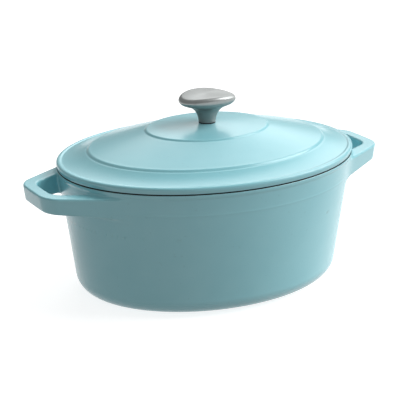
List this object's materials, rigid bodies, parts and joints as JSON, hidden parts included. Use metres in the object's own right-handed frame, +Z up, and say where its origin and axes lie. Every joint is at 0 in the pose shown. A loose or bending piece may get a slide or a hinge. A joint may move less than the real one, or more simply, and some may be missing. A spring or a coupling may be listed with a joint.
{
  "type": "oval cast iron dutch oven with lid",
  "caption": "Oval enamelled cast iron casserole with cast loop handles, a stepped domed lid that lifts off and a screwed-on brushed steel knob.",
  "frame": {"origin": "on the standing surface, at the middle of the foot ring", "axes": "+X along the oval from handle to handle, +Y across it, +Z up through the knob"},
  "size_m": [0.3308, 0.205, 0.1678],
  "materials": {
    "bare_iron": "matte",
    "blue_enamel": "gloss",
    "cream_enamel": "gloss",
    "black_enamel": "matte",
    "knob_steel": "satin",
    "gasket": "matte",
    "fastener_steel": "satin"
  },
  "bodies": {
    "pot": {"pot_casting": "bare_iron", "pot_outer_enamel": "blue_enamel", "pot_base_enamel": "blue_enamel", "pot_inner_enamel": "cream_enamel", "pot_rim_enamel": "black_enamel"},
    "lid": {"lid_casting": "bare_iron", "lid_outer_enamel": "blue_enamel", "lid_inner_enamel": "cream_enamel", "lid_rim_enamel": "black_enamel", "knob": "knob_steel", "knob_gasket": "gasket"},
    "washers": {"flat_washer": "fastener_steel", "spring_washer": "fastener_steel"},
    "screw": {"knob_screw": "fastener_steel"}
  },
  "joints": [
    {"name": "lid_lift", "type": "slide", "parent": "pot", "child": "lid", "axis": [0, 0, 1], "range_m": [0, 0.2]},
    {"name": "washer_drop", "type": "slide", "parent": "lid", "child": "washers", "axis": [0, 0, -1], "range_m": [0, 0.01]},
    {"name": "screw_turn", "type": "hinge", "parent": "washers", "child": "screw", "pos_m": [0, 0, 0.142], "axis": [0, 0, -1], "range_deg": [0, 3600.5]}
  ],
  "couplings": [
    {"joint": "screw_turn", "follows": "washer_drop", "rad_per_m": 6283.2}
  ]
}
